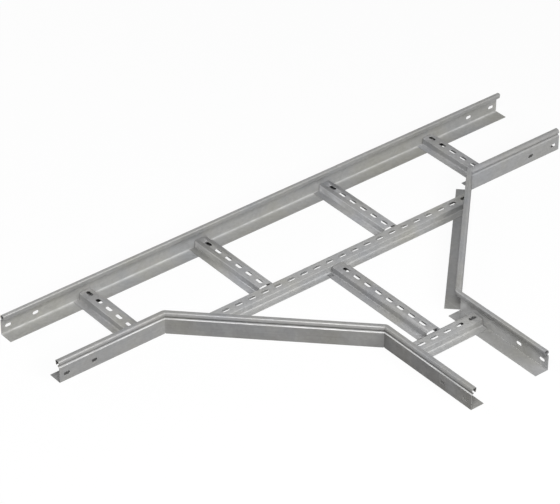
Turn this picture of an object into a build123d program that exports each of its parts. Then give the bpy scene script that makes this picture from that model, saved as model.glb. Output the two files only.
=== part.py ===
from build123d import *
import os
from math import radians, tan

os.makedirs("parts", exist_ok=True)

# Overall size of the tee, from the crossing of the run and branch centre lines
# The run lies along X and the branch leaves it toward -Y
half_width = 150
end_reach = 985
bevel_start = 607
rail_height = 75
sheet = 1.5

# Side rail section, measured inward from the outer face and up from the floor
flange_width = 49
flange_bend = 2
web_top = 53
groove_depth = 7
groove_height = 57.5
brow_inset = 1
brow_height = 62.5
hook_width = 19
hook_lip_inset = 15.5
hook_lip_height = 58
ledge_bend = 2.5
crown_bend = 9
hook_bend = 4

# Turns of the corner rails
turn_angle = 45
turn_bend = 2.5
turn_setback = turn_bend * tan(radians(turn_angle / 2))
turn_relief = flange_bend + 1
bevel_span = bevel_start - half_width
bevel_length = bevel_span * 2**0.5

# Slots for the splice bolts at each open rail end
splice_slot_length = 21
splice_slot_width = 11
splice_slot_height = 25
splice_slot_end_distance = 25
splice_slot_pitch = 98

# Rung section, a channel with feet turned outward
rung_width = 44
rung_height = 25
rung_foot_span = 88
rung_top_bend = 1
rung_foot_bend = 3
rung_gap = 2
rung_joint_gap = 4.5
branch_joint_gap = 9

# Slots along the rung tops
rung_slot_length = 27
rung_slot_width = 12.5
rung_slot_pitch = 50
rung_slot_sides = 12

# Where the rungs lie
end_rung_inset = 302
inner_rung_offset = 247.5
long_rung_offset = 196.5
branch_rung_inset = 299
centre_rung_offset = -6
long_rung_slot_shift = 7
inner_rung_slot_shift = -6.5
centre_rung_slot_shift = 1

rung_seat = sheet
rung_foot_top = rung_seat + sheet
rail_inner_face = half_width - sheet
end_rung_x = end_reach - end_rung_inset
branch_rung_y = -(end_reach - branch_rung_inset)
long_rung_back = -(long_rung_offset - rung_width / 2)
long_rung_front = -(long_rung_offset + rung_width / 2)
branch_rung_back = branch_rung_y + rung_width / 2
foot_overhang = (rung_foot_span - rung_width) / 2

# Middle of the footprint, which becomes the origin on the floor
run_line_y = (end_reach - half_width) / 2


def rail_skin():
    """outer skin of the side rail from the flange tip to the hook lip"""
    corners = [
        (flange_width, 0),
        (0, 0),
        (0, web_top),
        (groove_depth, groove_height),
        (brow_inset, brow_height),
        (brow_inset, rail_height),
        (hook_width, rail_height),
        (hook_lip_inset, hook_lip_height),
    ]
    bends = [flange_bend, ledge_bend, 0, 0, crown_bend, hook_bend]
    return FilletPolyline(*corners, radius=bends)


def rail_section():
    """sheet section of the side rail, flat on its drawing plane"""
    skin = rail_skin()
    return make_face(offset(skin, amount=sheet, side=Side.LEFT))


def turned_section():
    """rail section above the flange bend, the part that turns the corner"""
    keep = Pos(0, turn_relief) * Rectangle(4 * flange_width, 2 * rail_height, align=(Align.CENTER, Align.MIN))
    return rail_section() & keep


def section_plane(foot, heading):
    """drawing plane across a rail, inward to the left of its heading"""
    inward = Vector(1, 0, 0).rotate(Axis.Z, heading + 90)
    along = Vector(1, 0, 0).rotate(Axis.Z, heading)
    return Plane(origin=foot, x_dir=inward, z_dir=along)


def straight_length(foot, heading, length):
    """straight rail length that starts at foot and runs along heading"""
    return extrude(section_plane(foot, heading) * rail_section(), length)


def turn(foot, heading):
    """forty-five degree turn to the right at foot"""
    bend_centre = foot + Vector(0, -turn_bend, 0).rotate(Axis.Z, heading)
    face = section_plane(foot, heading) * turned_section()
    return revolve(face, Axis(bend_centre, (0, 0, -1)), turn_angle)


def advance(foot, heading, length):
    """point reached after a straight length"""
    return foot + Vector(length, 0, 0).rotate(Axis.Z, heading)


def turned_point(foot, heading):
    """point reached after a turn to the right"""
    bend_centre = foot + Vector(0, -turn_bend, 0).rotate(Axis.Z, heading)
    return bend_centre + (foot - bend_centre).rotate(Axis.Z, -turn_angle)


def splice_slot(foot, heading, distance):
    """cutter for one horizontal slot through the web"""
    centre = advance(foot, heading, distance) + Vector(0, 0, splice_slot_height)
    inward = Vector(0, 1, 0).rotate(Axis.Z, heading)
    along = Vector(1, 0, 0).rotate(Axis.Z, heading)
    plane = Plane(origin=centre, x_dir=along, z_dir=inward)
    return extrude(plane * SlotOverall(splice_slot_length, splice_slot_width), 3 * sheet, both=True)


def splice_slots(foot, heading):
    """the two slots of one open rail end"""
    near = splice_slot(foot, heading, splice_slot_end_distance)
    far = splice_slot(foot, heading, splice_slot_end_distance + splice_slot_pitch)
    return [near, far]


def back_rail():
    """straight rail along the far side of the run"""
    right_end = Vector(end_reach, half_width, 0)
    left_end = Vector(-end_reach, half_width, 0)
    rail = straight_length(right_end, 180, 2 * end_reach)
    slots = splice_slots(right_end, 180)
    slots += splice_slots(left_end, 0)
    return rail - slots


def corner_rail():
    """corner rail that comes along the run from the left and ends along the branch"""
    leg = end_reach - bevel_start - turn_setback
    bevel = bevel_length - 2 * turn_setback
    foot = Vector(-end_reach, -half_width, 0)
    heading = 0
    slots = splice_slots(foot, heading)
    pieces = []
    for length in (leg, bevel):
        pieces.append(straight_length(foot, heading, length))
        foot = advance(foot, heading, length)
        pieces.append(turn(foot, heading))
        foot = turned_point(foot, heading)
        heading -= turn_angle
    pieces.append(straight_length(foot, heading, leg))
    branch_end = advance(foot, heading, leg)
    slots += splice_slots(branch_end, heading + 180)
    rail = pieces[0]
    for piece in pieces[1:]:
        rail = rail + piece
    return rail - slots


def rung_section():
    """sheet section of a rung, its feet on the drawing axis"""
    inner = rung_width / 2 - sheet
    foot = rung_foot_span / 2
    top = rung_height - sheet
    corners = [(-foot, 0), (-inner, 0), (-inner, top), (inner, top), (inner, 0), (foot, 0)]
    bends = [rung_foot_bend, rung_top_bend, rung_top_bend, rung_foot_bend]
    skin = FilletPolyline(*corners, radius=bends)
    return make_face(offset(skin, amount=sheet, side=Side.LEFT))


def slot_places(count, shift=0):
    """distances of the rung slots from the middle of the rung"""
    return [shift + (index - (count - 1) / 2) * rung_slot_pitch for index in range(count)]


def rung_slot():
    """cutter for one rung slot, its ends halves of a many-sided circle"""
    reach = (rung_slot_length - rung_slot_width) / 2
    end = RegularPolygon(rung_slot_width / 2, rung_slot_sides, major_radius=False, rotation=180 / rung_slot_sides)
    outline = Rectangle(2 * reach, rung_slot_width) + Pos(-reach, 0) * end + Pos(reach, 0) * end
    return extrude(outline, 3 * sheet, both=True)


def rung(start, stop, slot_count, slot_shift=0):
    """rung along its own X axis from start to stop, slots about its middle"""
    plane = Plane(origin=(start, 0, 0), x_dir=(0, 1, 0), z_dir=(1, 0, 0))
    body = extrude(plane * rung_section(), stop - start)
    middle = (start + stop) / 2
    slot = rung_slot()
    places = [middle + place for place in slot_places(slot_count, slot_shift)]
    return body - [Pos(place, 0, rung_height) * slot for place in places]


def foot_notch(body, edge, direction):
    """body with its feet and wall bottoms cleared over the foot of a crossing rung"""
    reach = 4 * rung_foot_span
    block = Box(reach, reach, 2 * sheet, align=(Align.MIN, Align.CENTER, Align.CENTER))
    if direction < 0:
        block = Rot(0, 0, 180) * block
    return body - Pos(edge, 0, 0) * block


def seated(body, x, y, heading):
    """body laid on the rail flanges at its place in the tee"""
    return Pos(x, y, rung_seat) * Rot(0, 0, heading) * body


def end_rung(x):
    """rung across the run between the back rail and a corner rail"""
    half = rail_inner_face - rung_gap
    return seated(rung(-half, half, 6), x, 0, 90)


def inner_rung(x):
    """rung from the back rail to the long rung"""
    start = long_rung_back + rung_joint_gap
    stop = rail_inner_face - rung_gap
    body = rung(start, stop, 6, inner_rung_slot_shift)
    body = foot_notch(body, long_rung_back + foot_overhang, -1)
    return seated(body, x, 0, 90)


def centre_rung():
    """rung along the branch centre line from the long rung to the branch rung"""
    start = branch_rung_back + branch_joint_gap
    stop = long_rung_front - rung_joint_gap
    body = rung(start, stop, 8, centre_rung_slot_shift)
    body = foot_notch(body, branch_rung_back + foot_overhang, -1)
    body = foot_notch(body, long_rung_front - foot_overhang, 1)
    return seated(body, centre_rung_offset, 0, 90)


def long_rung():
    """rung along the open side of the run, its ends mitred to the bevels"""
    web_reach = bevel_start + half_width - sheet * 2**0.5
    middle_reach = web_reach - long_rung_offset - rung_gap * 2**0.5
    longest = middle_reach + rung_foot_span / 2
    body = rung(-longest, longest, 22, long_rung_slot_shift)
    for side in (1, -1):
        block = Box(4 * rung_foot_span, 8 * rung_foot_span, 4 * rung_height, align=(Align.MIN, Align.CENTER, Align.CENTER))
        if side < 0:
            block = Rot(0, 0, 180) * block
        body = body - Pos(side * middle_reach, 0, 0) * Rot(0, 0, -side * turn_angle) * block
    return seated(body, 0, -long_rung_offset, 0)


def branch_rung():
    """rung across the branch between the two corner rails"""
    half = rail_inner_face - rung_gap
    return seated(rung(-half, half, 6), 0, branch_rung_y, 0)


left_corner = corner_rail()
right_corner = left_corner.mirror(Plane.YZ)

parts = {
    "back_rail": back_rail(),
    "left_corner_rail": left_corner,
    "right_corner_rail": right_corner,
    "left_end_rung": end_rung(-end_rung_x),
    "left_inner_rung": inner_rung(-inner_rung_offset),
    "right_inner_rung": inner_rung(inner_rung_offset),
    "right_end_rung": end_rung(end_rung_x),
    "long_rung": long_rung(),
    "centre_rung": centre_rung(),
    "branch_rung": branch_rung(),
}

for name, shape in parts.items():
    export_step(Pos(0, run_line_y, 0) * shape, f"parts/{name}.step")
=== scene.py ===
import math

import bmesh
import bpy
from bpy.props import FloatProperty, FloatVectorProperty, PointerProperty
from mathutils import Matrix, Vector


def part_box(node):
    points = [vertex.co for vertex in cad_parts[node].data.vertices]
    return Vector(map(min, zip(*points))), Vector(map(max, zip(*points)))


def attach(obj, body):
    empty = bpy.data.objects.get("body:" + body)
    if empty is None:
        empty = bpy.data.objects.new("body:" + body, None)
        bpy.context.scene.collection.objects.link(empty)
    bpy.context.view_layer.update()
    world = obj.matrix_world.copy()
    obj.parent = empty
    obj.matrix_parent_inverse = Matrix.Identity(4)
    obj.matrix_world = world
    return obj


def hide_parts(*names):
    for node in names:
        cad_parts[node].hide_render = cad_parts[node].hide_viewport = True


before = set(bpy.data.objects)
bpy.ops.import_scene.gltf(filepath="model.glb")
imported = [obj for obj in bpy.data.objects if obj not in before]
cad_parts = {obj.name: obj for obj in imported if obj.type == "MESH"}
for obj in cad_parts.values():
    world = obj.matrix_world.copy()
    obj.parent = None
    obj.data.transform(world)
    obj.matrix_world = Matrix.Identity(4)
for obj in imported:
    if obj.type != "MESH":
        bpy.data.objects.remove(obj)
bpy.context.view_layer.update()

bl_info = {
    "name": "Cable ladder tee",
    "version": (1, 0, 0),
    "blender": (4, 5, 0),
    "location": "3D View > Sidebar > Ladder tee",
    "description": "Dresses a folded steel cable ladder tee and sets its studio",
    "category": "Object",
}

# The zinc finish, how it varies over the sheets, and the strength of its painted highlight and
# painted shade bands


class LadderZinc(bpy.types.PropertyGroup):
    zinc_colour: FloatVectorProperty(
        name="Zinc", description="Mean colour of the zinc", subtype="COLOR", size=3,
        min=0, max=1, default=(0.41, 0.41, 0.408),
    )
    warm_colour: FloatVectorProperty(
        name="Warm zinc", description="Colour of the yellowish patches", subtype="COLOR", size=3,
        min=0, max=1, default=(0.405, 0.402, 0.382),
    )
    cool_colour: FloatVectorProperty(
        name="Cool zinc", description="Colour of the bluish patches", subtype="COLOR", size=3,
        min=0, max=1, default=(0.385, 0.392, 0.405),
    )
    cloud_size: FloatProperty(
        name="Cloud size", description="Width of the soft patches", subtype="DISTANCE",
        unit="LENGTH", min=0.01, default=0.14,
    )
    flake_size: FloatProperty(
        name="Spangle size", description="Width of one zinc crystal", subtype="DISTANCE",
        unit="LENGTH", min=0.001, default=0.009,
    )
    sheen: FloatProperty(
        name="Roughness", description="Mean roughness of the zinc", min=0.05, max=1, default=0.34,
    )
    metal: FloatProperty(
        name="Metal", description="Metallic share of the weathered zinc",
        min=0, max=1, default=0.28,
    )
    gloss: FloatProperty(
        name="Gloss", description="Specular level of the zinc", min=0, max=1, default=0.0,
    )
    # Strength of the paler bands: a painted highlight along the ledges and the back fold, and
    # painted light on single webs and walls
    painted_light: FloatProperty(
        name="Rubbed zinc", description="How much paler the most worn bends and walls are",
        min=0, max=1, default=0.7,
    )
    # Strength of the darker bands: painted shade in the grooves under the brow and on single
    # outer webs
    painted_shade: FloatProperty(
        name="Dusty zinc", description="How much darker the folded grooves and dull webs are",
        min=0, max=1, default=0.18,
    )


class LadderRungs(bpy.types.PropertyGroup):
    crown_width: FloatProperty(
        name="Crown width", description="Flat strip along the middle of a rung top",
        subtype="DISTANCE", unit="LENGTH", min=0.01, default=0.025,
    )
    shoulder_drop: FloatProperty(
        name="Shoulder drop", description="Fall of the rung top from the crown to its edges",
        subtype="DISTANCE", unit="LENGTH", min=0, default=0.0021,
    )
    slot_length: FloatProperty(
        name="Slot length", description="Overall length of a rung slot", subtype="DISTANCE",
        unit="LENGTH", min=0.001, default=0.027,
    )
    slot_width: FloatProperty(
        name="Slot width", description="Width of a rung slot", subtype="DISTANCE",
        unit="LENGTH", min=0.001, default=0.0125,
    )
    slot_pitch: FloatProperty(
        name="Slot pitch", description="Step from slot to slot", subtype="DISTANCE",
        unit="LENGTH", min=0.001, default=0.05,
    )
    edge_round: FloatProperty(
        name="Edge rounding", description="Width of the worn corner along every sheared edge",
        subtype="DISTANCE", unit="LENGTH", min=0, default=0.0002,
    )


class LadderStage(bpy.types.PropertyGroup):
    lens: FloatProperty(
        name="Lens", description="Focal length on a 36 mm wide sensor, in millimetres",
        min=10, default=178.32,
    )
    azimuth: FloatProperty(
        name="Azimuth", description="Direction of view round the ladder", subtype="ANGLE",
        unit="ROTATION", default=math.radians(38.86),
    )
    elevation: FloatProperty(
        name="Elevation", description="Height of the camera above the horizon", subtype="ANGLE",
        unit="ROTATION", default=math.radians(35.02),
    )
    camera_place: FloatVectorProperty(
        name="Camera", description="Place of the camera", subtype="TRANSLATION",
        unit="LENGTH", size=3, default=(-4.4562, -5.0485, 4.8871),
    )
    floor_colour: FloatVectorProperty(
        name="Floor", description="Colour of the studio floor", subtype="COLOR", size=3,
        min=0, max=1, default=(0.2, 0.2, 0.2),
    )
    shadow_share: FloatProperty(
        name="Shadow share", description="Share of the seen floor that takes shadow",
        subtype="FACTOR", min=0, max=1, default=0.07,
    )
    ambient: FloatProperty(
        name="Ambient", description="Strength of the even light from all round",
        min=0, default=0.0,
    )
    ceiling: FloatProperty(
        name="Ceiling", description="Brightness of the studio above the white backdrop",
        min=0, max=1, default=0.3,
    )
    floor_width: FloatProperty(
        name="Floor width", description="Side of the square floor", subtype="DISTANCE",
        unit="LENGTH", min=2, default=60,
    )


def settings():
    """property groups of the zinc, the rungs and the stage"""
    scene = bpy.context.scene
    return scene.ladder_zinc, scene.ladder_rungs, scene.ladder_stage


# Zinc pattern: where clouds begin and end, how far each layer lightens, dulls or lifts the skin
CLOUD_DETAIL = 3.0
CLOUD_ROUGHNESS = 0.55
CLOUD_MIDDLE = 0.50
WARM_FULL = 0.68
COOL_FULL = 0.32
NOISE_SPREAD = (0.3, 0.7)
FLAKE_LIGHT = (0.95, 1.05)
FLAKE_SHINE = (-0.03, 0.03)
FLAKE_HEIGHT = 0.1
STREAK_STRETCH = (5, 5, 420)
STREAK_DETAIL = 2.0
STREAK_LIGHT = (0.95, 1.05)
CLOUD_SHINE = (-0.04, 0.04)
GRAIN_SCALE = 900.0
GRAIN_DETAIL = 2.0
PATCH_SCALE = 16.0
PATCH_DETAIL = 4.0
PATCH_SPREAD = (0.35, 0.6)
PATCH_STRENGTH = (0.45, 1.0)
BUMP_STRENGTH = 0.12
BUMP_DEPTH = 0.0004
# Painted shade colour, mixed into the darker bands
PAINTED_SHADE_COLOUR = (0.03, 0.018, 0.01, 1)
# Painted highlight colour, mixed into the paler bands
PAINTED_LIGHT_COLOUR = (0.9, 0.9, 0.9, 1)

# Sockets of Blender's colour mix node
MIX_INPUTS = (0, 6, 7)
MIX_RESULT = 2

# Shader groups


def group_socket(group, name, kind, inward):
    """named socket on a shader group"""
    way = "INPUT" if inward else "OUTPUT"
    group.interface.new_socket(name=name, in_out=way, socket_type=kind)


def add_node(tree, kind, **values):
    """node with its properties set"""
    node = tree.nodes.new(kind)
    for name, value in values.items():
        setattr(node, name, value)
    return node


def feed(tree, socket, value):
    """input set to a plain value, or linked where the value is a socket"""
    if isinstance(value, bpy.types.NodeSocket):
        tree.links.new(value, socket)
    else:
        socket.default_value = value


def mix_colours(tree, factor, first, second):
    """colour mix node fed by sockets or plain values"""
    node = add_node(tree, "ShaderNodeMix", data_type="RGBA")
    for index, value in zip(MIX_INPUTS, (factor, first, second)):
        feed(tree, node.inputs[index], value)
    return node.outputs[MIX_RESULT]


def maths(tree, operation, first, second, clamp=False):
    """math node fed by sockets or plain values"""
    node = add_node(tree, "ShaderNodeMath", operation=operation, use_clamp=clamp)
    for socket, value in zip(node.inputs, (first, second)):
        feed(tree, socket, value)
    return node.outputs[0]


def span(tree, value, low, high, to_low=0.0, to_high=1.0):
    """value carried from one range, low to high, to another"""
    node = add_node(tree, "ShaderNodeMapRange", clamp=True)
    for socket, number in zip(node.inputs, (value, low, high, to_low, to_high)):
        feed(tree, socket, number)
    return node.outputs[0]


def zinc_group():
    """clouds, crystals and rolling streaks of a zinc skin"""
    name = "zinc_skin"
    if name in bpy.data.node_groups:
        return bpy.data.node_groups[name]
    group = bpy.data.node_groups.new(name, "ShaderNodeTree")
    group_socket(group, "Place", "NodeSocketVector", True)
    for colour in ("Zinc", "Warm", "Cool"):
        group_socket(group, colour, "NodeSocketColor", True)
    for number in ("Cloud scale", "Spangle scale", "Roughness"):
        group_socket(group, number, "NodeSocketFloat", True)
    group_socket(group, "Colour", "NodeSocketColor", False)
    group_socket(group, "Roughness", "NodeSocketFloat", False)
    group_socket(group, "Height", "NodeSocketFloat", False)
    inward = group.nodes.new("NodeGroupInput").outputs
    outward = group.nodes.new("NodeGroupOutput").inputs

    cloud = add_node(group, "ShaderNodeTexNoise")
    cloud.inputs["Detail"].default_value = CLOUD_DETAIL
    cloud.inputs["Roughness"].default_value = CLOUD_ROUGHNESS
    group.links.new(inward["Place"], cloud.inputs["Vector"])
    group.links.new(inward["Cloud scale"], cloud.inputs["Scale"])
    warm_mask = span(group, cloud.outputs["Fac"], CLOUD_MIDDLE, WARM_FULL)
    cool_mask = span(group, cloud.outputs["Fac"], CLOUD_MIDDLE, COOL_FULL)

    crystals = add_node(group, "ShaderNodeTexVoronoi", feature="F1")
    group.links.new(inward["Place"], crystals.inputs["Vector"])
    group.links.new(inward["Spangle scale"], crystals.inputs["Scale"])
    crystals.inputs["Randomness"].default_value = 1.0
    crystal_tone = add_node(group, "ShaderNodeSeparateColor")
    group.links.new(crystals.outputs["Color"], crystal_tone.inputs[0])

    stretch = add_node(group, "ShaderNodeMapping")
    stretch.inputs["Scale"].default_value = STREAK_STRETCH
    group.links.new(inward["Place"], stretch.inputs["Vector"])
    streak = add_node(group, "ShaderNodeTexNoise")
    streak.inputs["Scale"].default_value = 1.0
    streak.inputs["Detail"].default_value = STREAK_DETAIL
    group.links.new(stretch.outputs[0], streak.inputs["Vector"])

    colour = mix_colours(group, warm_mask, inward["Zinc"], inward["Warm"])
    colour = mix_colours(group, cool_mask, colour, inward["Cool"])
    flake_light = span(group, crystal_tone.outputs[0], 0, 1, *FLAKE_LIGHT)
    streak_light = span(group, streak.outputs["Fac"], *NOISE_SPREAD, *STREAK_LIGHT)
    light = maths(group, "MULTIPLY", flake_light, streak_light)
    tint = add_node(group, "ShaderNodeVectorMath", operation="SCALE")
    group.links.new(colour, tint.inputs[0])
    group.links.new(light, tint.inputs["Scale"])
    group.links.new(tint.outputs[0], outward["Colour"])

    rough_step = span(group, crystal_tone.outputs[1], 0, 1, *FLAKE_SHINE)
    rough_cloud = span(group, cloud.outputs["Fac"], *NOISE_SPREAD, *CLOUD_SHINE)
    rough = maths(group, "ADD", inward["Roughness"], rough_step)
    rough = maths(group, "ADD", rough, rough_cloud, clamp=True)
    group.links.new(rough, outward["Roughness"])

    grain = add_node(group, "ShaderNodeTexNoise")
    grain.inputs["Scale"].default_value = GRAIN_SCALE
    grain.inputs["Detail"].default_value = GRAIN_DETAIL
    group.links.new(inward["Place"], grain.inputs["Vector"])
    height = maths(group, "MULTIPLY", crystal_tone.outputs[2], FLAKE_HEIGHT)
    height = maths(group, "ADD", height, grain.outputs["Fac"])
    group.links.new(height, outward["Height"])
    return group


def band_group():
    """patchy mask between two distances along a direction, soft at its edges, for the painted
    highlight and painted shade bands
    """
    name = "painted_light_and_shade_band"
    if name in bpy.data.node_groups:
        return bpy.data.node_groups[name]
    group = bpy.data.node_groups.new(name, "ShaderNodeTree")
    group_socket(group, "Place", "NodeSocketVector", True)
    group_socket(group, "Direction", "NodeSocketVector", True)
    for number in ("Low", "High", "Sharpness"):
        group_socket(group, number, "NodeSocketFloat", True)
    group_socket(group, "Mask", "NodeSocketFloat", False)
    inward = group.nodes.new("NodeGroupInput").outputs
    outward = group.nodes.new("NodeGroupOutput").inputs
    distance = add_node(group, "ShaderNodeVectorMath", operation="DOT_PRODUCT")
    group.links.new(inward["Place"], distance.inputs[0])
    group.links.new(inward["Direction"], distance.inputs[1])
    reach = distance.outputs["Value"]
    above = maths(group, "SUBTRACT", reach, inward["Low"])
    above = maths(group, "MULTIPLY", above, inward["Sharpness"], True)
    below = maths(group, "SUBTRACT", inward["High"], reach)
    below = maths(group, "MULTIPLY", below, inward["Sharpness"], True)
    patches = add_node(group, "ShaderNodeTexNoise")
    patches.inputs["Scale"].default_value = PATCH_SCALE
    patches.inputs["Detail"].default_value = PATCH_DETAIL
    group.links.new(inward["Place"], patches.inputs["Vector"])
    patchy = span(group, patches.outputs["Fac"], *PATCH_SPREAD, *PATCH_STRENGTH)
    mask = maths(group, "MULTIPLY", maths(group, "MULTIPLY", above, below), patchy)
    group.links.new(mask, outward["Mask"])
    return group


def band(tree, place, mark, strength):
    """masked share of one band, given as direction, low, high, softness and share"""
    direction, low, high, softness, share = mark
    node = add_node(tree, "ShaderNodeGroup", node_tree=band_group())
    tree.links.new(place, node.inputs["Place"])
    node.inputs["Direction"].default_value = direction
    node.inputs["Low"].default_value = low
    node.inputs["High"].default_value = high
    node.inputs["Sharpness"].default_value = 1 / softness
    return maths(tree, "MULTIPLY", node.outputs["Mask"], strength * share)


def zinc_material(name, offset, tone_and_painted_light, painted_light_bands, painted_shade_bands):
    """galvanised steel with its own stretch of the zinc pattern

    the tone scales its colour and holds some painted light and shade per piece; the first list of
    bands gives its paler bands of painted highlight and light, the second its darker bands of
    painted shade
    """
    zinc, _, _ = settings()
    material = bpy.data.materials.new(name)
    material.use_nodes = True
    tree = material.node_tree
    shader = tree.nodes["Principled BSDF"]
    place = add_node(tree, "ShaderNodeTexCoord").outputs["Object"]
    shift = add_node(tree, "ShaderNodeMapping")
    shift.inputs["Location"].default_value = offset
    tree.links.new(place, shift.inputs["Vector"])
    skin = add_node(tree, "ShaderNodeGroup", node_tree=zinc_group())
    tree.links.new(shift.outputs[0], skin.inputs["Place"])
    for socket, colour in (
        ("Zinc", zinc.zinc_colour), ("Warm", zinc.warm_colour), ("Cool", zinc.cool_colour),
    ):
        toned = [channel * share for channel, share in zip(colour, tone_and_painted_light)]
        skin.inputs[socket].default_value = (*toned, 1)
    skin.inputs["Cloud scale"].default_value = 1 / zinc.cloud_size
    skin.inputs["Spangle scale"].default_value = 1 / zinc.flake_size
    skin.inputs["Roughness"].default_value = zinc.sheen
    colour = skin.outputs["Colour"]
    # Painted shade: darker bands on the grooves and on single webs
    for mark in painted_shade_bands:
        colour = mix_colours(tree, band(tree, place, mark, zinc.painted_shade), colour, PAINTED_SHADE_COLOUR)
    # Painted highlight and painted light: paler bands on ledges, the back fold and single webs
    # and walls
    for mark in painted_light_bands:
        colour = mix_colours(tree, band(tree, place, mark, zinc.painted_light), colour, PAINTED_LIGHT_COLOUR)
    tree.links.new(colour, shader.inputs["Base Color"])
    tree.links.new(skin.outputs["Roughness"], shader.inputs["Roughness"])
    shader.inputs["Metallic"].default_value = zinc.metal
    shader.inputs["Specular IOR Level"].default_value = zinc.gloss
    bump = add_node(tree, "ShaderNodeBump")
    bump.inputs["Strength"].default_value = BUMP_STRENGTH
    bump.inputs["Distance"].default_value = BUMP_DEPTH
    tree.links.new(skin.outputs["Height"], bump.inputs["Height"])
    tree.links.new(bump.outputs[0], shader.inputs["Normal"])
    return material


def dress(node, material):
    """CAD node finished with one material all over"""
    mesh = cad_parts[node].data
    mesh.materials.clear()
    mesh.materials.append(material)


# Modelling steps

TOLERANCE = 0.00001


def lone(piece):
    """leave one piece selected and active"""
    bpy.ops.object.select_all(action="DESELECT")
    piece.select_set(True)
    bpy.context.view_layer.objects.active = piece


def near(value, target):
    """whether two lengths in metres are the same"""
    return abs(value - target) < TOLERANCE


def select_edges(piece, wanted):
    """select, in edit mode, the edges whose two ends pass the test"""
    bpy.ops.mesh.select_mode(type="EDGE")
    bpy.ops.mesh.select_all(action="DESELECT")
    shape = bmesh.from_edit_mesh(piece.data)
    for edge in shape.edges:
        if all(wanted(corner.co) for corner in edge.verts):
            edge.select_set(True)
    bmesh.update_edit_mesh(piece.data)


def select_corners(piece, wanted):
    """select, in edit mode, the corners that pass the test"""
    bpy.ops.mesh.select_mode(type="VERT")
    bpy.ops.mesh.select_all(action="DESELECT")
    shape = bmesh.from_edit_mesh(piece.data)
    for corner in shape.verts:
        if wanted(corner.co):
            corner.select_set(True)
    shape.select_flush(True)
    bmesh.update_edit_mesh(piece.data)


def finish_with(piece, kind, **values):
    """one modifier with its values, applied"""
    modifier = piece.modifiers.new(kind.lower(), kind)
    for name, value in values.items():
        setattr(modifier, name, value)
    lone(piece)
    bpy.ops.object.modifier_apply(modifier=modifier.name)


def cut_away(piece, cutter):
    """piece with the cutter's space removed, and the cutter deleted"""
    finish_with(piece, "BOOLEAN", object=cutter, operation="DIFFERENCE", solver="EXACT")
    bpy.data.objects.remove(cutter)


# Rung section on its inner skin, in metres: half widths, heights and bends
SHEET = 0.0015
SEAT = 0.0015
RUNG_INNER = 0.0205
RUNG_FOOT = 0.044
CROWN_SKIN = 0.025
CROWN_BEND = 0.002
TOP_BEND = 0.0008
FOOT_BEND = 0.006

# How far a cutter reaches past the rung end that it clears
SPARE = 0.01

# Sides of the round punch, and the angles that count as a sheared edge and as a smooth bend
PUNCH_SIDES = 32
SHEARED_ANGLE = math.radians(60)
SMOOTH_ANGLE = math.radians(30)


def folded_blank(name, length):
    """rung folded from a strip along X, its inner skin only"""
    _, rungs, _ = settings()
    bpy.ops.object.select_all(action="DESELECT")
    bpy.ops.mesh.primitive_plane_add(size=1, location=(0, 0, 0))
    piece = bpy.context.object
    piece.name = name
    half_crown = rungs.crown_width / 2
    shoulder = CROWN_SKIN - rungs.shoulder_drop
    bpy.ops.object.mode_set(mode="EDIT")
    bpy.ops.mesh.select_all(action="SELECT")
    bpy.ops.transform.resize(value=(length, rungs.crown_width, 1), center_override=(0, 0, 0))
    bpy.ops.transform.translate(value=(0, 0, CROWN_SKIN))
    for side in (1, -1):
        select_edges(piece, lambda corner: near(corner.y, side * half_crown))
        for step in (
            (0, side * (RUNG_INNER - half_crown), -rungs.shoulder_drop),
            (0, 0, SEAT - shoulder),
            (0, side * (RUNG_FOOT - RUNG_INNER), 0),
        ):
            bpy.ops.mesh.extrude_region_move(TRANSFORM_OT_translate={"value": step})
    for width, height, bend, steps in (
        (half_crown, CROWN_SKIN, CROWN_BEND, 3),
        (RUNG_INNER, shoulder, TOP_BEND, 4),
        (RUNG_INNER, SEAT, FOOT_BEND, 6),
    ):
        select_edges(
            piece, lambda corner: near(abs(corner.y), width) and near(corner.z, height)
        )
        bpy.ops.mesh.bevel(offset=bend, segments=steps, affect="EDGES")
    bpy.ops.object.mode_set(mode="OBJECT")
    return piece


def clear_feet(piece, low, high):
    """feet and wall bottoms removed between two places along the rung

    The block is wider than the rung and reaches one seat and one foot above the floor.
    """
    bpy.ops.object.select_all(action="DESELECT")
    bpy.ops.mesh.primitive_cube_add(size=1, location=(0, 0, 0))
    block = bpy.context.object
    bpy.ops.object.mode_set(mode="EDIT")
    bpy.ops.mesh.select_all(action="SELECT")
    size = (high - low, 3 * RUNG_FOOT, 4 * SHEET)
    bpy.ops.transform.resize(value=size, center_override=(0, 0, 0))
    bpy.ops.transform.translate(value=((low + high) / 2, 0, 0))
    bpy.ops.object.mode_set(mode="OBJECT")
    cut_away(piece, block)


def mitre_ends(piece, reach):
    """both ends cut at forty-five degrees, through reach on the centre line"""
    slant = 0.5**0.5
    lone(piece)
    for side in (1, -1):
        bpy.ops.object.mode_set(mode="EDIT")
        bpy.ops.mesh.select_all(action="SELECT")
        bpy.ops.mesh.bisect(
            plane_co=(side * reach, 0, 0), plane_no=(side * slant, -slant, 0),
            use_fill=True, clear_outer=True,
        )
        bpy.ops.object.mode_set(mode="OBJECT")


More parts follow.
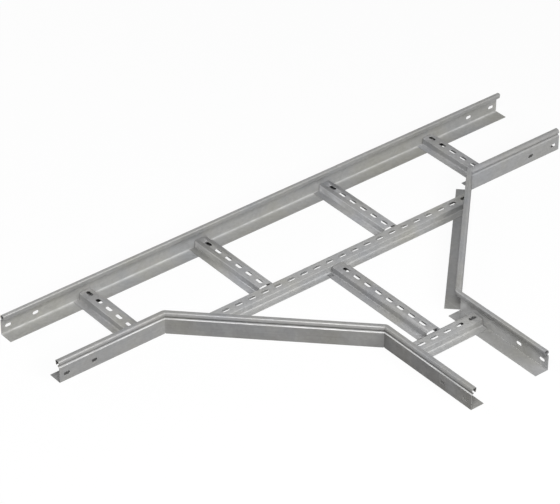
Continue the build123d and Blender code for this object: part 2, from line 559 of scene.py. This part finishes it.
def punch_slots(piece, count, middle):
    """row of long holes through the rung top, about middle"""
    _, rungs, _ = settings()
    bpy.ops.object.select_all(action="DESELECT")
    bpy.ops.mesh.primitive_cylinder_add(
        vertices=PUNCH_SIDES, radius=rungs.slot_width / 2, depth=8 * SHEET, location=(0, 0, 0)
    )
    punch = bpy.context.object
    bpy.ops.object.mode_set(mode="EDIT")
    bpy.ops.mesh.select_all(action="SELECT")
    half_step = math.pi / PUNCH_SIDES
    bpy.ops.transform.rotate(value=half_step, orient_axis="Z", center_override=(0, 0, 0))
    reach = (rungs.slot_length - rungs.slot_width) / 2
    for side in (1, -1):
        select_corners(punch, lambda corner: corner.x * side > 0)
        bpy.ops.transform.translate(value=(side * reach, 0, 0))
    first = middle - (count - 1) / 2 * rungs.slot_pitch
    bpy.ops.mesh.select_all(action="SELECT")
    bpy.ops.transform.translate(value=(first, 0, CROWN_SKIN))
    bpy.ops.object.mode_set(mode="OBJECT")
    finish_with(
        punch, "ARRAY", count=count, use_relative_offset=False, use_constant_offset=True,
        constant_offset_displace=(rungs.slot_pitch, 0, 0),
    )
    cut_away(piece, punch)


def seat_rung(piece, middle, along_y):
    """finished rung turned to its run and moved to its place in the ladder"""
    lone(piece)
    piece.location = (middle.x, middle.y, 0)
    piece.rotation_euler = (0, 0, math.pi / 2 if along_y else 0)
    bpy.ops.object.transform_apply(location=True, rotation=True, scale=True)


def build_rung(node, count, shift, clear_start, clear_stop):
    """rung that stands for a CAD node, with round slot ends and a crowned top

    Its first material slot is for the outside, its second for the inner skin.
    """
    _, rungs, _ = settings()
    low, high = (Vector(corner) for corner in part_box(node))
    size = high - low
    along_y = size.y > size.x
    length = size.y if along_y else size.x
    piece = folded_blank(node + "_fine", length)
    piece.data.materials.append(None)
    piece.data.materials.append(None)
    finish_with(
        piece, "SOLIDIFY", thickness=SHEET, offset=1, use_even_offset=True, material_offset=1
    )
    if node == "long_rung":
        mitre_ends(piece, length / 2 - RUNG_FOOT)
    if clear_start:
        clear_feet(piece, -length / 2 - SPARE, -length / 2 + clear_start)
    if clear_stop:
        clear_feet(piece, length / 2 - clear_stop, length / 2 + SPARE)
    punch_slots(piece, count, shift)
    finish_with(
        piece, "BEVEL", width=rungs.edge_round, segments=1, limit_method="ANGLE",
        angle_limit=SHEARED_ANGLE,
    )
    bpy.ops.object.shade_smooth_by_angle(angle=SMOOTH_ANGLE)
    finish_with(piece, "WEIGHTED_NORMAL", keep_sharp=True)
    seat_rung(piece, (low + high) / 2, along_y)
    return piece


def moved_copy(piece, name, step):
    """copy with a mesh of its own, moved by step"""
    twin = piece.copy()
    twin.data = piece.data.copy()
    twin.name = name
    twin.data.transform(Matrix.Translation(step))
    bpy.context.scene.collection.objects.link(twin)
    return twin


# Painted highlight and light (paler) and painted shade (darker) bands: direction, low, high and
# softness in metres, share of the full effect
LEDGE_LEFT = ((0, 0, 1), 0.0526, 0.0556, 0.0008, 1.0)
LEDGE_RIGHT = ((0, 0, 1), 0.0526, 0.0556, 0.0008, 0.35)
GROOVE = ((0, 0, 1), 0.0560, 0.0662, 0.0012, 1.0)
BACK_FOLD = ((0, -0.5, 1), -0.2900, -0.2765, 0.004, 0.65)
LEFT_BEVEL_WEB = ((-1, -1, 0), 0.3386, 0.3402, 0.0004, 1.0)
LEFT_BRANCH_WEB = ((-1, 0, 0), 0.1493, 0.1506, 0.0003, 1.9)
RIGHT_BRANCH_WEB = ((1, 0, 0), 0.1478, 0.1490, 0.0003, 0.5)
RIGHT_BEVEL_WEB = ((1, -1, 0), 0.3386, 0.3402, 0.0004, 2.4)
LEFT_END_WALL = ((-1, 0, 0), 0.7036, 0.7056, 0.0006, 0.5)

# Each piece is folded from a sheet of its own, so their colours differ a little; the tones also
# hold painted light and shade, set per piece to lighten or darken it where the lamps do not
# A rail has its tone, its painted highlight bands and its painted shade bands
RAIL_LOOKS = {
    "back_rail": ((1.09, 1.088, 1.07), (BACK_FOLD,), ()),
    "left_corner_rail": (
        (0.92, 0.915, 0.905), (LEDGE_LEFT,), (GROOVE, LEFT_BEVEL_WEB, LEFT_BRANCH_WEB),
    ),
    "right_corner_rail": (
        (1.03, 1.03, 1.03), (LEDGE_RIGHT, RIGHT_BRANCH_WEB), (GROOVE, RIGHT_BEVEL_WEB),
    ),
}

# A rung has its tone outside, which holds painted light too, and the share of it that its inner
# skin has: below one a painted shade inside the channel, above one painted light
RUNG_LOOKS = {
    "left_end_rung": ((1.10, 1.09, 1.08), 0.7),
    "left_inner_rung": ((1.14, 1.14, 1.145), 0.7),
    "right_inner_rung": ((1.22, 1.22, 1.23), 0.7),
    "right_end_rung": ((1.10, 1.10, 1.11), 0.7),
    "long_rung": ((1.18, 1.18, 1.17), 1.3),
    "centre_rung": ((0.98, 0.98, 0.99), 0.7),
    "branch_rung": ((1.16, 1.16, 1.15), 1.3),
}
# Painted light on the outer wall of the left end rung
RUNG_PAINTED_LIGHT = {"left_end_rung": (LEFT_END_WALL,)}

# Place of each piece in the zinc pattern, a step from the piece before
RAIL_STEP = (1.7, 0.6)
RAIL_DEPTH = 0.2
RUNG_STEP = (0.9, 2.3)
RUNG_DEPTH = 0.4


class LADDER_OT_rails(bpy.types.Operator):
    """Give the side rails their zinc skin"""

    bl_idname = "ladder.rails"
    bl_label = "Side rails"

    def execute(self, context):
        for index, (node, look) in enumerate(RAIL_LOOKS.items()):
            offset = (RAIL_STEP[0] * index, RAIL_STEP[1] * index, RAIL_DEPTH)
            dress(node, zinc_material(node + "_zinc", offset, *look))
        return {"FINISHED"}


# Slots, their shift from the middle, and how far the feet are cleared at each end
RUNG_CUTS = {
    "left_end_rung": (6, 0, 0, 0),
    "left_inner_rung": (6, -0.0065, 0.0175, 0),
    "long_rung": (22, 0.007, 0, 0),
    "centre_rung": (8, 0.001, 0.013, 0.0175),
    "branch_rung": (6, 0, 0, 0),
}
RUNG_TWINS = {"right_end_rung": "left_end_rung", "right_inner_rung": "left_inner_rung"}


class LADDER_OT_rungs(bpy.types.Operator):
    """Fold, slot and place the rungs, and give them their zinc skin"""

    bl_idname = "ladder.rungs"
    bl_label = "Rungs"

    def execute(self, context):
        pieces = {node: build_rung(node, *cuts) for node, cuts in RUNG_CUTS.items()}
        for node, twin in RUNG_TWINS.items():
            step = Vector(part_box(node)[0]) - Vector(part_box(twin)[0])
            pieces[node] = moved_copy(pieces[twin], node + "_fine", step)
        for index, (node, (tone_and_painted_light, inside_painted_light_share)) in enumerate(RUNG_LOOKS.items()):
            piece = pieces[node]
            offset = (RUNG_STEP[0] * index, RUNG_STEP[1] * index, RUNG_DEPTH)
            inside_painted_tone = tuple(inside_painted_light_share * channel for channel in tone_and_painted_light)
            painted_light_bands = RUNG_PAINTED_LIGHT.get(node, ())
            skins = piece.data.materials
            skins[0] = zinc_material(node + "_zinc", offset, tone_and_painted_light, painted_light_bands, ())
            # The inner skin takes the tone times its share: a painted shade inside the rung, and
            # painted light where the share is above one
            skins[1] = zinc_material(node + "_inside_painted_light_zinc", offset, inside_painted_tone, (), ())
            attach(piece, "root")
            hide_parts(node)
        return {"FINISHED"}


# Studio lamps: name, place, what they face, width, depth and power in watts
STAGE_MIDDLE = (0.0, 0.1, 0.0)
SOFT_BOXES = (
    ("front_box", (0.4, -5.0, 3.4), STAGE_MIDDLE, 4.0, 2.0, 203),
    ("key_box", (-2.4, -2.4, 4.6), (-0.1, 0.0, 0.0), 1.8, 1.4, 176),
    ("fill_box", (1.4, -3.0, 4.6), (0.0, 0.0, 0.0), 1.8, 1.4, 40),
    ("left_box", (-2.6, 3.4, 3.6), STAGE_MIDDLE, 2.4, 2.0, 38),
    ("back_box", (-1.6, 5.0, 1.5), STAGE_MIDDLE, 3.0, 1.4, 60),
)

# Height of a ray's direction at which the white backdrop ends and the ceiling begins
BACKDROP_TOP = 0.2
CEILING_EDGE = 0.5

SENSOR_WIDTH = 36
VIEW_REACH = 200


def soft_box(name, place, target, width, depth, power):
    """area lamp that faces its target"""
    lamp = bpy.data.lights.new(name, "AREA")
    lamp.shape = "RECTANGLE"
    lamp.size = width
    lamp.size_y = depth
    lamp.energy = power
    holder = bpy.data.objects.new(name, lamp)
    bpy.context.scene.collection.objects.link(holder)
    holder.location = place
    holder.rotation_mode = "QUATERNION"
    holder.rotation_quaternion = (Vector(target) - Vector(place)).to_track_quat("-Z", "Y")


def seen_directly(tree):
    """1 for camera, glossy and transmission rays"""
    path = add_node(tree, "ShaderNodeLightPath")
    seen = maths(tree, "MAXIMUM", path.outputs["Is Camera Ray"], path.outputs["Is Glossy Ray"])
    return maths(tree, "MAXIMUM", seen, path.outputs["Is Transmission Ray"])


def mix_surfaces(tree, factor, first, second):
    """mix of two shader sockets"""
    mix = add_node(tree, "ShaderNodeMixShader")
    for socket, value in zip(mix.inputs, (factor, first, second)):
        feed(tree, socket, value)
    return mix.outputs[0]


def glow(tree, kind, strength):
    """white emission or background of one strength"""
    node = add_node(tree, kind)
    node.inputs["Color"].default_value = (1, 1, 1, 1)
    node.inputs["Strength"].default_value = strength
    return node.outputs[0]


def matt(tree, colour):
    """plain matt surface"""
    node = add_node(tree, "ShaderNodeBsdfDiffuse")
    node.inputs["Color"].default_value = (*colour, 1)
    return node.outputs[0]


def floor_material(stage):
    """floor that shows white and keeps a light shadow, and bounces its own colour"""
    paint = bpy.data.materials.new("studio_floor_paint")
    paint.use_nodes = True
    tree = paint.node_tree
    tree.nodes.clear()
    output = add_node(tree, "ShaderNodeOutputMaterial")
    shadowed = mix_surfaces(
        tree, stage.shadow_share, glow(tree, "ShaderNodeEmission", 1.0), matt(tree, (1, 1, 1))
    )
    surface = mix_surfaces(tree, seen_directly(tree), matt(tree, stage.floor_colour), shadowed)
    tree.links.new(surface, output.inputs["Surface"])
    return paint


def studio_world(stage):
    """white backdrop under a greyer ceiling, which lights the object only by the ambient share"""
    world = bpy.data.worlds.new("studio")
    world.use_nodes = True
    tree = world.node_tree
    tree.nodes.clear()
    output = add_node(tree, "ShaderNodeOutputWorld")
    soft = glow(tree, "ShaderNodeBackground", stage.ambient)
    direction = add_node(tree, "ShaderNodeSeparateXYZ")
    tree.links.new(add_node(tree, "ShaderNodeTexCoord").outputs["Generated"], direction.inputs[0])
    height = direction.outputs["Z"]
    backdrop = add_node(tree, "ShaderNodeBackground")
    fade = span(tree, height, BACKDROP_TOP, CEILING_EDGE, 1.0, stage.ceiling)
    tree.links.new(fade, backdrop.inputs["Strength"])
    surface = mix_surfaces(tree, seen_directly(tree), soft, backdrop.outputs[0])
    tree.links.new(surface, output.inputs["Surface"])
    return world


class LADDER_OT_stage(bpy.types.Operator):
    """Set the floor, the soft light and the camera"""

    bl_idname = "ladder.stage"
    bl_label = "Studio"

    def execute(self, context):
        _, _, stage = settings()
        scene = context.scene
        bpy.ops.object.select_all(action="DESELECT")
        bpy.ops.mesh.primitive_plane_add(size=stage.floor_width, location=(0, 0, 0))
        floor = context.object
        floor.name = "studio_floor"
        floor.data.materials.append(floor_material(stage))
        scene.world = studio_world(stage)
        for lamp in SOFT_BOXES:
            soft_box(*lamp)

        lens = bpy.data.cameras.new("photo_camera")
        lens.lens = stage.lens
        lens.sensor_width = SENSOR_WIDTH
        lens.clip_end = VIEW_REACH
        camera = bpy.data.objects.new("photo_camera", lens)
        scene.collection.objects.link(camera)
        camera.location = stage.camera_place
        flat = math.cos(stage.elevation)
        gaze = Vector((
            math.sin(stage.azimuth) * flat, math.cos(stage.azimuth) * flat,
            -math.sin(stage.elevation),
        ))
        camera.rotation_mode = "QUATERNION"
        camera.rotation_quaternion = gaze.to_track_quat("-Z", "Y")
        scene.camera = camera
        scene.view_settings.view_transform = "Standard"
        return {"FINISHED"}


class LADDER_PT_panel(bpy.types.Panel):
    """Steps that dress the ladder tee"""

    bl_label = "Ladder tee"
    bl_idname = "LADDER_PT_panel"
    bl_space_type = "VIEW_3D"
    bl_region_type = "UI"
    bl_category = "Ladder tee"

    def draw(self, context):
        layout = self.layout
        for group in settings():
            column = layout.column()
            for name in group.bl_rna.properties.keys():
                if name not in ("rna_type", "name"):
                    column.prop(group, name)
        for operator in STEPS:
            layout.operator(operator.bl_idname)


STEPS = (LADDER_OT_rails, LADDER_OT_rungs, LADDER_OT_stage)
CLASSES = (LadderZinc, LadderRungs, LadderStage, *STEPS, LADDER_PT_panel)


def register():
    """classes and their settings on the scene"""
    for kind in CLASSES:
        bpy.utils.register_class(kind)
    bpy.types.Scene.ladder_zinc = PointerProperty(type=LadderZinc)
    bpy.types.Scene.ladder_rungs = PointerProperty(type=LadderRungs)
    bpy.types.Scene.ladder_stage = PointerProperty(type=LadderStage)


def unregister():
    """settings and classes taken off again"""
    del bpy.types.Scene.ladder_stage
    del bpy.types.Scene.ladder_rungs
    del bpy.types.Scene.ladder_zinc
    for kind in reversed(CLASSES):
        bpy.utils.unregister_class(kind)


def main():
    """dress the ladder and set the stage"""
    register()
    bpy.ops.ladder.rails()
    bpy.ops.ladder.rungs()
    bpy.ops.ladder.stage()


if __name__ == "__main__":
    main()
